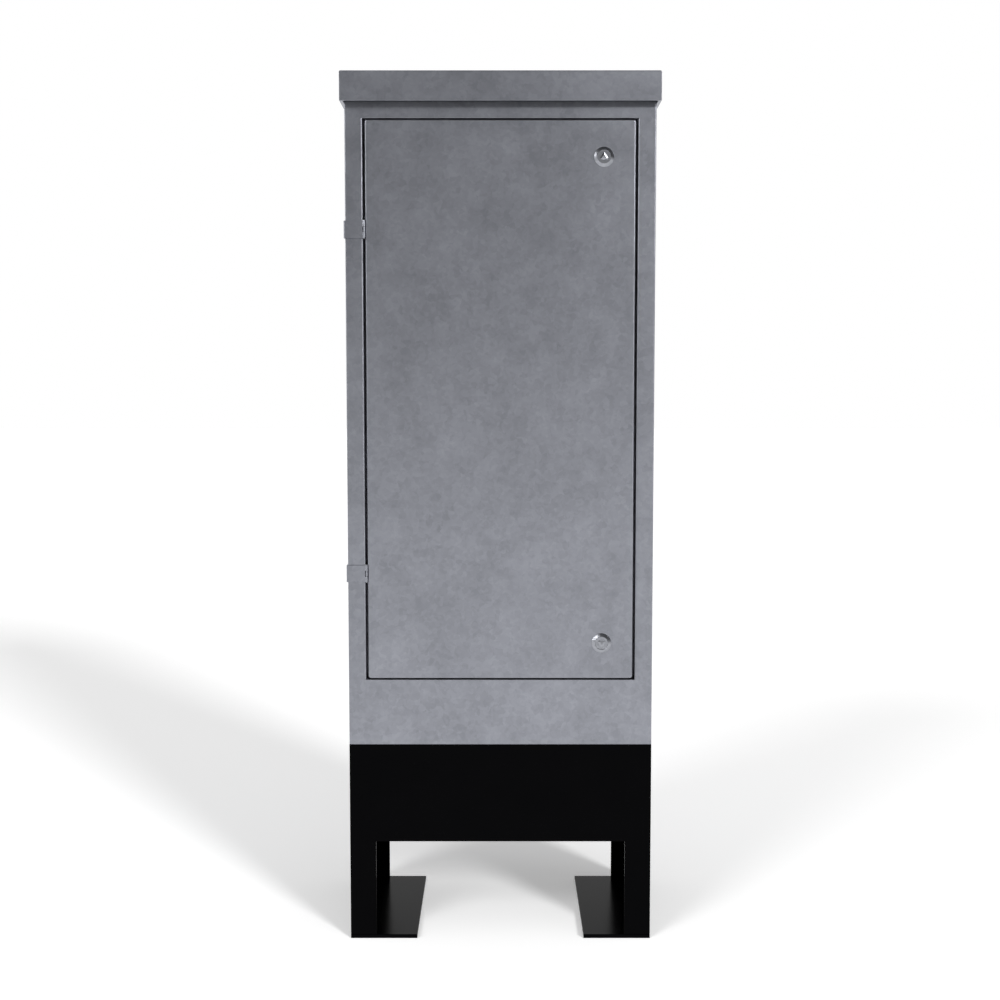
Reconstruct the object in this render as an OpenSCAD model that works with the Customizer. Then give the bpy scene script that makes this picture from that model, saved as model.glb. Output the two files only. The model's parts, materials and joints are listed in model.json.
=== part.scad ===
// Feeder pillar: a galvanised sheet steel cabinet with one locked door, standing on a black root frame.
// Lengths are millimetres. The origin is on the ground under the middle of the cabinet.
// The door looks along -Y, +X is to the right of someone facing the door and +Z is up.

/* [Cabinet] */
// Width of the cabinet body
body_w = 450; // [380:5:600]
// Depth of the cabinet body
body_d = 255; // [235:5:360]
// Height of the cabinet body without the roof sheet
body_h = 979; // [900:0.5:1300]
// Thickness of the galvanised sheet
sheet = 2; // [1.5:0.25:2.5]
// Outer radius of a fold in the sheet
fold_r = 2.6; // [2.6:0.2:4]
// Width of the flanges turned in at the top and the bottom of the body
flange_w = 30; // [28:1:36]

/* [Door opening] */
// Width of the frame beside the door
stile_w = 26.2; // [22:0.2:40]
// Height of the rail under the door
rail_h = 97.5; // [60:0.5:140]
// Height of the header over the door, most of it behind the roof fascia
header_h = 62.5; // [55:0.5:90]
// Depth from the front face to the land that the seal closes on
rebate_d = 25.5; // [24:0.5:32]
// Width of the land behind the door edge
land_w = 18; // [16:1:22]
// Radius of the front edge of the header and the rail, which are pressed sharper than the stiles
rail_edge_r = 0.7; // [0.4:0.1:2]

/* [Door] */
// Gap between the door and the frame at each side
side_gap = 2.8; // [2.6:0.2:6]
// Gap between the door and the frame at top and bottom
end_gap = 1.6; // [1.4:0.2:5]
// Corner radius of the door face
door_corner_r = 4; // [3.5:0.5:8]
// Width of the lip turned in at the back of the door
door_lip = 14; // [12:1:16]
// Thickness of the seal as it stands
seal_t = 3.2; // [2.5:0.1:4]
// Gap that the drawn seal keeps from the land
seal_gap = 0.3; // [0.3:0.1:1]
// Width of the stiffening channel on the inside of the door
stiff_w = 60; // [50:1:90]
// Depth of the stiffening channel
stiff_d = 14; // [10:0.5:15]

/* [Roof] */
// How far the roof stands out past each side
roof_side = 5.5; // [4.5:0.5:12]
// How far the roof stands out past the front and the back
roof_front = 15; // [12:1:30]
// Height of the fascia over the door
fascia_h = 42.7; // [36:0.1:52]
// Depth of the deep part of the side skirt behind the fascia
cheek_d = 60; // [40:1:90]
// Height of the shallow skirt along the sides and the back
skirt_h = 20; // [14:1:28]
// Gap between the body sides and the hem turned in under the deep part of the skirt
hem_gap = 0.5; // [0.4:0.1:1.5]
// Length of the studs under the roof
roof_stud_l = 22; // [18:1:30]

/* [Root] */
// Height of the root frame
root_h = 297; // [250:1:450]
// Thickness of the root plates
root_t = 3; // [2.5:0.5:5]
// Width of each leg left beside the cable cut-out
leg_w = 38.8; // [34:0.2:60]
// Height of the cable cut-out in the front and the rear plate
cut_h = 148.9; // [100:0.1:200]
// Width of each foot plate
foot_w = 100; // [80:1:120]
// Thickness of each foot plate
foot_t = 6; // [4:0.5:10]
// Diameter of the bolts between the root and the body
bolt_d = 10; // [8:1:12]
// How far the bolts reach below the root flange
bolt_end = 14; // [12:1:24]
// Thickness of the washers under the bolt heads and the nuts
washer_t = 2; // [1.5:0.25:3]

/* [Hinges] */
// Height of each hinge
hinge_h = 25; // [22:1:40]
// Distance from the door end to the middle of the hinge
hinge_inset = 156.9; // [100:0.1:220]
// Thickness of the hinge leaves
leaf_t = 2; // [1.75:0.25:2.25]
// Length of the leaf along the cabinet side
leaf_side = 42; // [36:1:60]
// Diameter of the hinge pin
pin_d = 1.8; // [1.6:0.1:2]
// Outer diameter of the hinge knuckle
knuckle_d = 3.8; // [3.6:0.1:3.9]
// Distance from the cabinet front to the first hinge rivet, and on to the second
rivet_gap = 16; // [14:1:20]

/* [Locks] */
// Distance from the lock axis to the right edge of the door
lock_in_x = 46.5; // [44:0.5:60]
// Distance from the lock axis to the end of the door
lock_in_z = 53.4; // [46:0.1:90]
// Diameter of the lock rosette
rosette_d = 29; // [28:0.5:34]
// How far the domed rosette stands out of the door
rosette_h = 3.4; // [2.6:0.1:5]
// Height of the straight edge of the rosette
rosette_edge = 0.7; // [0.4:0.1:1.2]
// Diameter of the dish inside the rosette
dish_d = 19; // [18:0.5:20]
// Depth of the dish under the top of the rosette
dish_depth = 1.7; // [1.2:0.1:2]
// Diameter of the lock barrel through the door
barrel_d = 22; // [21.5:0.5:24]
// Side of the triangular post that the key turns
key_side = 12.5; // [9:0.1:13]
// Diameter of the lock spindle
spindle_d = 10; // [9:0.5:11]
// Length of the cam from the lock axis to its tip
cam_reach = 42; // [40:0.5:44]
// Width of the cam
cam_w = 16; // [14:0.5:20]
// Thickness of the cam
cam_t = 3; // [2.5:0.25:4]

/* [Backboard] */
// Thickness of the wooden backboard
board_t = 12; // [9:0.5:18]
// Length of the spacers behind the backboard
spacer_l = 12; // [10:0.5:20]
// Distance of the backboard edge from the edge of the door opening
board_margin = 25; // [22:1:40]
// Diameter of the studs that carry the backboard
stud_d = 8; // [6:0.5:10]

/* [Switchgear] */
// Distance of the mounting rail under the top of the backboard
rail_drop = 210; // [150:1:300]
// Length of the mounting rail
rail_l = 250; // [180:5:290]
// Width of one switchgear module
pole_w = 18; // [17.5:0.1:20]
// Height of the switchgear bodies
gear_h = 85; // [80:1:95]
// Depth of the switchgear bodies in front of the backboard
gear_d = 66; // [62:1:72]
// Length of the neutral bar and the earth bar
bar_l = 150; // [120:5:200]
// Distance of the neutral bar under the mounting rail
neutral_drop = 130; // [110:1:170]
// Distance of the earth bar over the bottom of the backboard
earth_rise = 110; // [70:1:150]
// Length of the posts under the neutral bar and the earth bar
post_l = 22; // [16:1:30]
// Width across the flats of those posts
post_af = 14; // [12:0.5:18]
// Height of the cable bar over the cabinet floor
cable_bar_rise = 60; // [40:1:80]
// Distance of the cable bar in front of the backboard
cable_bar_out = 62; // [50:1:70]
// Leg width of the cable bar
cable_bar_w = 30; // [25:1:40]
// Thickness of the cable bar
cable_bar_t = 3; // [2:0.5:5]
// Number of the slots for cable straps along the cable bar
strap_slots = 6; // [4:1:8]

/* [Hidden] */
$fn = 64;

// Colours of the materials
galv = "#8b8e94";
black = "#17171a";
zinc = "#b9bcc0";
bright = "#c9ccd0";
rubber = "#151515";
ply = "#c9a26b";
grey_plastic = "#d9dbdc";
dark_plastic = "#26282b";
red_plastic = "#a8201c";
brass = "#b9923f";
blue_plastic = "#2f5f9e";
green_plastic = "#3f8a45";

// Small lift used where a cut runs past a face
over = 1;
// Running clearance of a pin or a spindle in its bore
run = 0.05;
// Clearance of a screw or a stud in its hole
loose = 0.25;

// Planes of the body
xs = body_w / 2;
yf = -body_d / 2;
yb = body_d / 2;
z0 = root_h;
zt = root_h + body_h;
fold_in = max(fold_r - sheet, 0.5);

// Door opening
ap_x = xs - stile_w;
ap_z0 = z0 + rail_h;
ap_z1 = zt - header_h;
ap_h = ap_z1 - ap_z0;
ap_zm = (ap_z0 + ap_z1) / 2;
land_y = yf + rebate_d;

// Door
door_x = ap_x - side_gap;
door_z0 = ap_z0 + end_gap;
door_z1 = ap_z1 - end_gap;
door_h = door_z1 - door_z0;
door_d = rebate_d - seal_t - seal_gap;
door_back = yf + door_d;

// Hinges
knuckle_r = knuckle_d / 2;
hinge_x = -(ap_x - side_gap / 2);
hinge_y = yf - leaf_t + knuckle_r;
upper_hinge_z = door_z1 - hinge_inset;
lower_hinge_z = door_z0 + hinge_inset;
knuckle_gap = 0.3;
rivet_y = [yf + rivet_gap, yf + 2 * rivet_gap];
knuckle_h = (hinge_h - 2 * knuckle_gap) / 3;

// Locks
lock_x = door_x - lock_in_x;
upper_lock_z = door_z1 - lock_in_z;
lower_lock_z = door_z0 + lock_in_z;
cam_front = rebate_d + sheet + 0.8;
barrel_end = cam_front - 0.8;
post_r = key_side / sqrt(3);
dome_y = (pow(dish_d / 2, 2) + pow(rosette_h, 2) - pow(rosette_d / 2, 2) - pow(rosette_edge, 2))
  / (2 * (rosette_h - rosette_edge));
dome_r = sqrt(pow(rosette_d / 2, 2) + pow(rosette_edge - dome_y, 2));
dish_floor = rosette_h - dish_depth;
square_w = spindle_d * 0.7;

// Backboard and switchgear
board_y = yb - sheet - spacer_l - board_t;
board_x = ap_x - board_margin;
board_z0 = ap_z0 + board_margin;
board_z1 = ap_z1 - board_margin;
stud_x = board_x - 25;
stud_z = [board_z0 + 25, board_z1 - 25];
bar_y0 = board_y - post_l;
rail_z = board_z1 - rail_drop;
neutral_z = rail_z - neutral_drop;
earth_z = board_z0 + earth_rise;
gear_x0 = -3 * pole_w;
rail_y = board_y - 7.5;
toggle_y = board_y - gear_d + 6;
toggle_r = 6.5;
toggle_rest = 35;
pivot_r = 1.5;

// Fixings between the body, the roof and the root
fix_x = xs - sheet - (flange_w - sheet) / 2;
fix_y = body_d * 0.35;
base_x = fix_x;

// Block between two corners
module block(a, b) {
  translate(a) cube([b[0] - a[0], b[1] - a[1], b[2] - a[2]]);
}

// Round bar along X, Y or Z that starts at p
module bar_x(p, r, l) {
  translate(p) rotate([0, 90, 0]) cylinder(r = r, h = l);
}
module bar_y(p, r, l) {
  translate(p) rotate([-90, 0, 0]) cylinder(r = r, h = l);
}
module bar_z(p, r, l) {
  translate(p) cylinder(r = r, h = l);
}

// Hexagon nut or head along Y and along Z, flat to flat width af
module hex_y(p, af, l) {
  translate(p) rotate([-90, 0, 0]) cylinder(d = af / cos(30), h = l, $fn = 6);
}
module hex_z(p, af, l) {
  translate(p) cylinder(d = af / cos(30), h = l, $fn = 6);
}

// Rectangle with its two lower corners rounded, seen in the plane that is extruded
module round_low(w, d, r) {
  intersection() {
    union() {
      translate([-w / 2, r]) square([w, d - r]);
      translate([-w / 2 + r, 0]) square([w - 2 * r, d]);
      for (s = [-1, 1]) translate([s * (w / 2 - r), r]) circle(r = r);
    }
    translate([-w / 2, 0]) square([w, d]);
  }
}

// Rectangle with four rounded corners
module round_rect(w, h, r) {
  union() {
    translate([-w / 2, -h / 2 + r]) square([w, h - 2 * r]);
    translate([-w / 2 + r, -h / 2]) square([w - 2 * r, h]);
    for (sx = [-1, 1]) for (sy = [-1, 1]) translate([sx * (w / 2 - r), sy * (h / 2 - r)]) circle(r = r);
  }
}

// Opening that flares by the fold radius at its front edge, seen in plan
module flare(w, d, r) {
  union() {
    translate([-w / 2, -over]) square([w, d + over]);
    difference() {
      translate([-w / 2 - r, -over]) square([w + 2 * r, r + over]);
      for (s = [-1, 1]) translate([s * (w / 2 + r), r]) circle(r = r);
    }
  }
}

// Back and two sides folded from one sheet, with flanges turned in at the top and the bottom
module body_wrap() {
  color(galv) difference() {
    union() {
      translate([0, 0, z0]) linear_extrude(height = body_h) difference() {
        translate([0, yb]) mirror([0, 1]) round_low(body_w, body_d - sheet, fold_r);
        translate([0, yb - sheet]) mirror([0, 1]) round_low(body_w - 2 * sheet, body_d, fold_in);
      }
      for (z = [z0, zt - sheet]) {
        for (s = [0, 1]) mirror([s, 0, 0])
          block([-xs + sheet / 2, yf + sheet, z], [-xs + flange_w, yb - sheet / 2, z + sheet]);
        block([-xs + sheet / 2, yb - flange_w, z], [xs - sheet / 2, yb - sheet / 2, z + sheet]);
      }
    }
    for (sx = [-1, 1]) for (sy = [-1, 1]) {
      bar_z([sx * base_x, sy * fix_y, z0 - over], bolt_d / 2 + loose, sheet + 2 * over);
      bar_z([sx * fix_x, sy * fix_y, zt - sheet - over], stud_d / 2 + loose, sheet + 2 * over);
    }
    corner_trim();
  }
}

// Rounds the outside of the flanges at the folded rear corners
module corner_trim() {
  for (s = [-1, 1]) translate([s * (xs - fold_r), yb - fold_r, z0 - over]) difference() {
    translate([s > 0 ? 0 : -fold_r - over, 0, 0]) cube([fold_r + over, fold_r + over, body_h + 2 * over]);
    cylinder(r = fold_r, h = body_h + 2 * over);
  }
}

// Front sheet with the door opening, its folded rebate and the land for the seal
module front_frame() {
  color(galv) difference() {
    union() {
      translate([0, yf, z0]) linear_extrude(height = body_h) round_low(body_w, sheet, sheet * 0.9);
      block([-ap_x - sheet, yf + sheet / 2, ap_z0 - sheet], [ap_x + sheet, land_y + sheet, ap_z1 + sheet]);
      for (z = [z0, zt - sheet])
        block([-xs + flange_w, yf + sheet / 2, z], [xs - flange_w, land_y + sheet, z + sheet]);
    }
    intersection() {
      translate([0, yf, ap_z0 - 2 * fold_r]) linear_extrude(height = ap_h + 4 * fold_r)
        flare(2 * ap_x, rebate_d, fold_r);
      translate([-ap_x - 2 * fold_r, yf, ap_zm]) rotate([0, 90, 0])
        linear_extrude(height = 2 * ap_x + 4 * fold_r) flare(ap_h, rebate_d, rail_edge_r);
    }
    block([-ap_x + land_w, yf - over, ap_z0 + land_w],
      [ap_x - land_w, land_y + sheet + over, ap_z1 - land_w]);
  }
}

// Roof sheet folded down all round, deep at the front and shallow behind, with a hem under the deep part
module roof() {
  rw = body_w + 2 * roof_side;
  rd = body_d + 2 * roof_front;
  low = zt + sheet - fascia_h;
  hem_w = roof_side - sheet / 2 - hem_gap;
  color(galv) union() {
    difference() {
      roof_block(rw, rd, fascia_h, fold_r, zt + sheet);
      roof_block(rw - 2 * sheet, rd - 2 * sheet, fascia_h, fold_in, zt);
      translate([-rw, 0, 0]) rotate([90, 0, 90]) linear_extrude(height = 2 * rw) polygon([
        [-rd / 2 + cheek_d, low - over],
        [-rd / 2 + cheek_d, low],
        [-rd / 2 + cheek_d + (fascia_h - skirt_h), zt + sheet - skirt_h],
        [rd / 2 + over, zt + sheet - skirt_h],
        [rd / 2 + over, low - over]
      ]);
    }
    for (s = [-1, 1])
      translate([s * (xs + hem_gap + hem_w / 2) - hem_w / 2, -rd / 2 + sheet / 2, low])
        cube([hem_w, cheek_d - sheet / 2, sheet]);
  }
}

// Block with its four top edges rounded
module roof_block(w, d, h, r, top) {
  intersection() {
    translate([0, d / 2, top]) rotate([90, 0, 0]) linear_extrude(height = d)
      mirror([0, 1]) round_low(w, h, r);
    translate([-w / 2, 0, top]) rotate([90, 0, 90]) linear_extrude(height = w)
      mirror([0, 1]) round_low(d, h, r);
  }
}

// Studs welded under the roof sheet
module roof_studs() {
  color(zinc) for (sx = [-1, 1]) for (sy = [-1, 1])
    bar_z([sx * fix_x, sy * fix_y, zt - roof_stud_l], stud_d / 2, roof_stud_l);
}

// Washers and nuts that pull the roof onto the body flanges
module roof_nuts() {
  color(zinc) for (sx = [-1, 1]) for (sy = [-1, 1]) difference() {
    union() {
      bar_z([sx * fix_x, sy * fix_y, zt - sheet - 1.6], stud_d, 1.6);
      hex_z([sx * fix_x, sy * fix_y, zt - sheet - 8.4], stud_d * 1.625, 6.9);
    }
    bar_z([sx * fix_x, sy * fix_y, zt - roof_stud_l], stud_d / 2 + 0.02, roof_stud_l);
  }
}

// One side plate of the root with the flange that carries the body
module root_side() {
  difference() {
    union() {
      block([-xs, yf + root_t, foot_t], [-xs + root_t, yb - root_t, root_h]);
      block([-xs + root_t / 2, yf + root_t, root_h - root_t], [-xs + flange_w, yb - root_t, root_h]);
    }
    for (sy = [-1, 1])
      bar_z([-base_x, sy * fix_y, root_h - root_t - over], bolt_d / 2 + loose, root_t + 2 * over);
  }
}
module root_left_side() {
  color(black) root_side();
}
module root_right_side() {
  color(black) mirror([1, 0, 0]) root_side();
}

// Front or rear plate of the root with the cable cut-out between its legs
module root_panel(y) {
  difference() {
    block([-xs, y, foot_t], [xs, y + root_t, root_h]);
    block([-xs + leg_w, y - over, foot_t - over], [xs - leg_w, y + root_t + over, cut_h]);
  }
}
module root_front_panel() {
  color(black) root_panel(yf);
}
module root_rear_panel() {
  color(black) root_panel(yb - root_t);
}

// Foot plates that the pillar stands on
module root_left_foot() {
  color(black) block([-xs, yf, 0], [-xs + foot_w, yb, foot_t]);
}
module root_right_foot() {
  color(black) block([xs - foot_w, yf, 0], [xs, yb, foot_t]);
}

// Bolts with their washers, put in from inside the cabinet
module base_bolts() {
  color(zinc) for (sx = [-1, 1]) for (sy = [-1, 1]) {
    bar_z([sx * base_x, sy * fix_y, z0 - root_t - bolt_end], bolt_d / 2, root_t + sheet + bolt_end + over);
    bar_z([sx * base_x, sy * fix_y, z0 + sheet], bolt_d, washer_t);
    hex_z([sx * base_x, sy * fix_y, z0 + sheet + washer_t], bolt_d * 1.65, bolt_d * 0.64);
  }
}

// Nuts with their washers under the root flange
module base_nuts() {
  nut_h = bolt_d * 0.8;
  color(zinc) for (sx = [-1, 1]) for (sy = [-1, 1]) difference() {
    union() {
      bar_z([sx * base_x, sy * fix_y, z0 - root_t - washer_t], bolt_d, washer_t);
      hex_z([sx * base_x, sy * fix_y, z0 - root_t - washer_t - nut_h], bolt_d * 1.65, nut_h + 0.1);
    }
    bar_z([sx * base_x, sy * fix_y, z0 - root_t - bolt_end - over], bolt_d / 2 + 0.02, bolt_end + 2 * over);
  }
}

// Angle across the cabinet that the cables are strapped to, with a row of slots
module cable_bar() {
  y = board_y - cable_bar_out;
  z = z0 + sheet + cable_bar_rise;
  pitch = (body_w - 2 * flange_w) / strap_slots;
  color(galv) difference() {
    union() {
      block([-xs + sheet, y, z], [xs - sheet, y + cable_bar_t, z + cable_bar_w]);
      block([-xs + sheet, y, z], [xs - sheet, y + cable_bar_w, z + cable_bar_t]);
    }
    for (k = [0 : strap_slots - 1])
      translate([(k - (strap_slots - 1) / 2) * pitch, y - over, z + (cable_bar_w + cable_bar_t) / 2])
        slot_y(pitch / 2, cable_bar_w / 4, cable_bar_t + 2 * over);
  }
}

// Slot along X with round ends, cut along Y
module slot_y(l, w, depth) {
  union() {
    translate([-(l - w) / 2, 0, -w / 2]) cube([l - w, depth, w]);
    for (s = [-1, 1]) bar_y([s * (l - w) / 2, 0, 0], w / 2, depth);
  }
}

// Earth stud with two washers and a nut, standing out of a face along -Y at p
module earth_stud(p) {
  union() {
    bar_y([p[0], p[1] - 22, p[2]], stud_d / 2, 22);
    bar_y([p[0], p[1] - 4.6, p[2]], stud_d, 1.6);
    hex_y([p[0], p[1] - 11.4, p[2]], stud_d * 1.625, 6.8);
    hex_y([p[0], p[1] - 3, p[2]], stud_d * 1.5, 3);
  }
}
module body_earth_stud() {
  color(brass) earth_stud([-xs + 60, yb - sheet, z0 + 75]);
}

// Wooden backboard for the switchgear
module backboard() {
  color(ply) difference() {
    block([-board_x, board_y, board_z0], [board_x, board_y + board_t, board_z1]);
    for (sx = [-1, 1]) for (z = stud_z)
      bar_y([sx * stud_x, board_y - over, z], stud_d / 2 + loose, board_t + 2 * over);
  }
}

// Studs welded to the back of the cabinet
module board_studs() {
  color(zinc) for (sx = [-1, 1]) for (z = stud_z)
    bar_y([sx * stud_x, board_y - 14, z], stud_d / 2, board_t + spacer_l + 14);
}

// Tubes that hold the backboard off the back
module board_spacers() {
  color(zinc) for (sx = [-1, 1]) for (z = stud_z) difference() {
    bar_y([sx * stud_x, board_y + board_t, z], stud_d, spacer_l);
    bar_y([sx * stud_x, board_y, z], stud_d / 2 + 0.1, board_t + spacer_l + over);
  }
}

// Washers and nuts on the front of the backboard
module board_nuts() {
  color(zinc) for (sx = [-1, 1]) for (z = stud_z) difference() {
    union() {
      bar_y([sx * stud_x, board_y - 1.6, z], stud_d * 1.2, 1.6);
      hex_y([sx * stud_x, board_y - 8.4, z], stud_d * 1.625, 6.9);
    }
    bar_y([sx * stud_x, board_y - 20, z], stud_d / 2 + 0.02, 22);
  }
}

// Top-hat mounting rail
module din_rail() {
  color(zinc) difference() {
    union() {
      block([-rail_l / 2, board_y - 1, rail_z - 13.5], [rail_l / 2, board_y, rail_z + 13.5]);
      for (s = [0, 1]) translate([0, 0, rail_z]) mirror([0, 0, s]) {
        block([-rail_l / 2, rail_y, 12.5], [rail_l / 2, board_y, 13.5]);
        block([-rail_l / 2, rail_y, 12.5], [rail_l / 2, rail_y + 1, 17.5]);
      }
    }
    for (s = [-1, 1]) bar_y([s * (rail_l / 2 - 18), board_y - 3, rail_z], 2.2, 5);
    for (k = [0 : floor((rail_l - 80) / 25)])
      translate([(k - floor((rail_l - 80) / 25) / 2) * 25, board_y - 3, rail_z]) slot_y(15, 6.2, 5);
  }
}

// Pan head screws that hold the rail to the backboard
module rail_screws() {
  color(zinc) for (s = [-1, 1]) {
    bar_y([s * (rail_l / 2 - 18), board_y - 1.5, rail_z], 2, 1.5);
    difference() {
      bar_y([s * (rail_l / 2 - 18), board_y - 3.6, rail_z], 4, 2.6);
      block([s * (rail_l / 2 - 18) - 5, board_y - 4, rail_z - 0.5],
        [s * (rail_l / 2 - 18) + 5, board_y - 2.6, rail_z + 0.5]);
    }
  }
}

// Switchgear body: stepped block that hooks over the rail, with a window for the toggle
module gear_body(x, w, window) {
  translate([x + 0.1, 0, rail_z]) difference() {
    rotate([90, 0, 90]) linear_extrude(height = w - 0.2) polygon([
      [board_y - 3, -gear_h / 2], [board_y - 3, -15.5], [rail_y + 1.3, -15.5], [rail_y + 1.3, -17.8],
      [rail_y, -17.8], [rail_y, 17.8], [rail_y + 1.3, 17.8], [rail_y + 1.3, 15.5], [board_y - 3, 15.5],
      [board_y - 3, gear_h / 2], [board_y - gear_d + 22, gear_h / 2], [board_y - gear_d + 20, gear_h / 2 - 2],
      [board_y - gear_d + 20, 23], [board_y - gear_d + 1, 22.5], [board_y - gear_d, 21.5],
      [board_y - gear_d, -21.5], [board_y - gear_d + 1, -22.5], [board_y - gear_d + 20, -23],
      [board_y - gear_d + 20, -gear_h / 2 + 2], [board_y - gear_d + 22, -gear_h / 2]
    ]);
    block([w / 2 - 0.1 - window / 2, board_y - gear_d - over, -13],
      [w / 2 - 0.1 + window / 2, board_y - gear_d + 14, 13]);
    bar_x([w / 2 - 2.1 - window / 2, toggle_y, 0], pivot_r + run, window + 4);
    for (k = [0 : round(w / pole_w) - 1]) for (s = [-1, 1])
      bar_y([pole_w * (k + 0.5) - 0.1, board_y - gear_d + 19, s * (gear_h / 2 - 10)], 3, 6);
  }
}

// Toggle with its drum and pivot pins, lying in the off position
module gear_toggle(x, w, width) {
  translate([x + w / 2, toggle_y, rail_z]) union() {
    bar_x([-width / 2, 0, 0], toggle_r, width);
    bar_x([-width / 2 - 2.2, 0, 0], pivot_r, width + 4.4);
    rotate([toggle_rest, 0, 0]) translate([-width / 2 + 0.5, 0, 0]) rotate([90, 0, 90])
      linear_extrude(height = width - 1) union() {
        polygon([[0, -3], [0, 3], [-13, 1.6], [-13, -1.6]]);
        translate([-13, 0]) circle(r = 1.6);
      }
  }
}

// Main switch and its toggle
module main_switch() {
  color(grey_plastic) gear_body(gear_x0, 2 * pole_w, 19);
}
module main_toggle() {
  color(red_plastic) gear_toggle(gear_x0, 2 * pole_w, 18);
}

// Circuit breakers and their toggles
module breaker_1() {
  color(grey_plastic) gear_body(gear_x0 + 2 * pole_w, pole_w, 9);
}
module breaker_2() {
  color(grey_plastic) gear_body(gear_x0 + 3 * pole_w, pole_w, 9);
}
module breaker_3() {
  color(grey_plastic) gear_body(gear_x0 + 4 * pole_w, pole_w, 9);
}
module breaker_4() {
  color(grey_plastic) gear_body(gear_x0 + 5 * pole_w, pole_w, 9);
}
module breaker_1_toggle() {
  color(dark_plastic) gear_toggle(gear_x0 + 2 * pole_w, pole_w, 8);
}
module breaker_2_toggle() {
  color(dark_plastic) gear_toggle(gear_x0 + 3 * pole_w, pole_w, 8);
}
module breaker_3_toggle() {
  color(dark_plastic) gear_toggle(gear_x0 + 4 * pole_w, pole_w, 8);
}
module breaker_4_toggle() {
  color(dark_plastic) gear_toggle(gear_x0 + 5 * pole_w, pole_w, 8);
}

// Slotted terminal screws sunk in the shoulders of the switchgear
module terminal_screws() {
  color(zinc) for (k = [0 : 5]) for (s = [-1, 1])
    translate([gear_x0 + pole_w * (k + 0.5), board_y - gear_d + 21.5, rail_z + s * (gear_h / 2 - 10)])
      difference() {
        bar_y([0, 0, 0], 2.9, 3.5);
        block([-4, -over, -0.4], [4, 0.9, 0.4]);
      }
}

// Terminal bar with its row of screw holes and the wire holes that cross them
module terminal_bar(z) {
  difference() {
    block([-bar_l / 2, bar_y0 - 10, z - 5], [bar_l / 2, bar_y0, z + 5]);
    for (k = [0 : 7]) {
      bar_y([bar_pitch(k), bar_y0 - 11, z], 2.4, 8);
      bar_z([bar_pitch(k), bar_y0 - 4.5, z - 6], 2.2, 12);
    }
  }
}
function bar_pitch(k) = (k - 3.5) * (bar_l - 50) / 7;

// Insulating posts under a terminal bar
module bar_posts(z) {
  for (s = [-1, 1]) hex_y([s * (bar_l / 2 - 10), bar_y0, z], post_af, post_l);
}

// Slotted screws in a terminal bar and the screws that hold the bar on its posts
module bar_screws(z) {
  for (k = [0 : 7]) translate([bar_pitch(k), bar_y0 - 12, z]) difference() {
    bar_y([0, 0, 0], 2.35, 8);
    block([-3, -over, -0.4], [3, 1, 0.4]);
  }
  for (s = [-1, 1]) hex_y([s * (bar_l / 2 - 10), bar_y0 - 13.5, z], 8, 3.5);
}
module neutral_bar() {
  color(brass) terminal_bar(neutral_z);
}
module neutral_posts() {
  color(blue_plastic) bar_posts(neutral_z);
}
module neutral_screws() {
  color(zinc) bar_screws(neutral_z);
}
module earth_bar() {
  color(brass) terminal_bar(earth_z);
}
module earth_posts() {
  color(green_plastic) bar_posts(earth_z);
}
module earth_screws() {
  color(zinc) bar_screws(earth_z);
}

// Hinge leaf that wraps the stile from the cabinet side and rolls into two knuckles, flush at the front
module hinge_leaf(zc) {
  leaf_w = xs + leaf_t + hinge_x;
  translate([0, 0, zc - hinge_h / 2]) difference() {
    linear_extrude(height = hinge_h) difference() {
      union() {
        difference() {
          translate([hinge_x - leaf_w / 2, yf - leaf_t]) round_low(leaf_w, leaf_t + leaf_side, leaf_t);
          translate([-xs, yf]) square([body_w, leaf_side + over]);
        }
        translate([hinge_x, hinge_y]) circle(r = knuckle_r);
      }
      translate([hinge_x, hinge_y]) circle(r = pin_d / 2 + run);
    }
    block([hinge_x - knuckle_r - knuckle_gap, yf - 10, knuckle_h],
      [hinge_x + 10, yf + 10, hinge_h - knuckle_h]);
    for (y = rivet_y) bar_x([-xs - leaf_t - over, y, hinge_h / 2], 2 + loose, leaf_t + 2 * over);
  }
}
module upper_hinge_leaf() {
  color(galv) hinge_leaf(upper_hinge_z);
}
module lower_hinge_leaf() {
  color(galv) hinge_leaf(lower_hinge_z);
}

// Hinge pin with a small head at its top
module hinge_pin(zc) {
  union() {
    bar_z([hinge_x, hinge_y, zc - hinge_h / 2 - 1], pin_d / 2, hinge_h + 2);
    bar_z([hinge_x, hinge_y, zc + hinge_h / 2], pin_d / 2 + 0.9, 1.2);
  }
}
module upper_hinge_pin() {
  color(zinc) hinge_pin(upper_hinge_z);
}
module lower_hinge_pin() {
  color(zinc) hinge_pin(lower_hinge_z);
}

// Rivets that hold the hinge leaves to the cabinet side
module hinge_rivets() {
  color(zinc) for (z = [upper_hinge_z, lower_hinge_z]) for (y = rivet_y)
    translate([-xs - leaf_t, y, z]) union() {
      bar_x([0, 0, 0], 2, leaf_t);
      intersection() {
        translate([3.6, 0, 0]) sphere(r = 5);
        block([-1.4, -5, -5], [0, 5, 5]);
      }
    }
}

// Door leaf with the middle knuckle, welded to the folded edge of the door
module hinge_door_leaf(zc) {
  translate([0, 0, zc - knuckle_h / 2 + knuckle_gap / 2]) linear_extrude(height = knuckle_h - knuckle_gap)
    difference() {
      union() {
        translate([hinge_x, hinge_y]) circle(r = knuckle_r);
        translate([-door_x - leaf_t, hinge_y]) square([leaf_t, door_back - 2 - hinge_y]);
      }
      translate([hinge_x, hinge_y]) circle(r = pin_d / 2 + run);
    }
}
module upper_hinge_door_leaf() {
  color(galv) hinge_door_leaf(upper_hinge_z);
}
module lower_hinge_door_leaf() {
  color(galv) hinge_door_leaf(lower_hinge_z);
}

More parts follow.
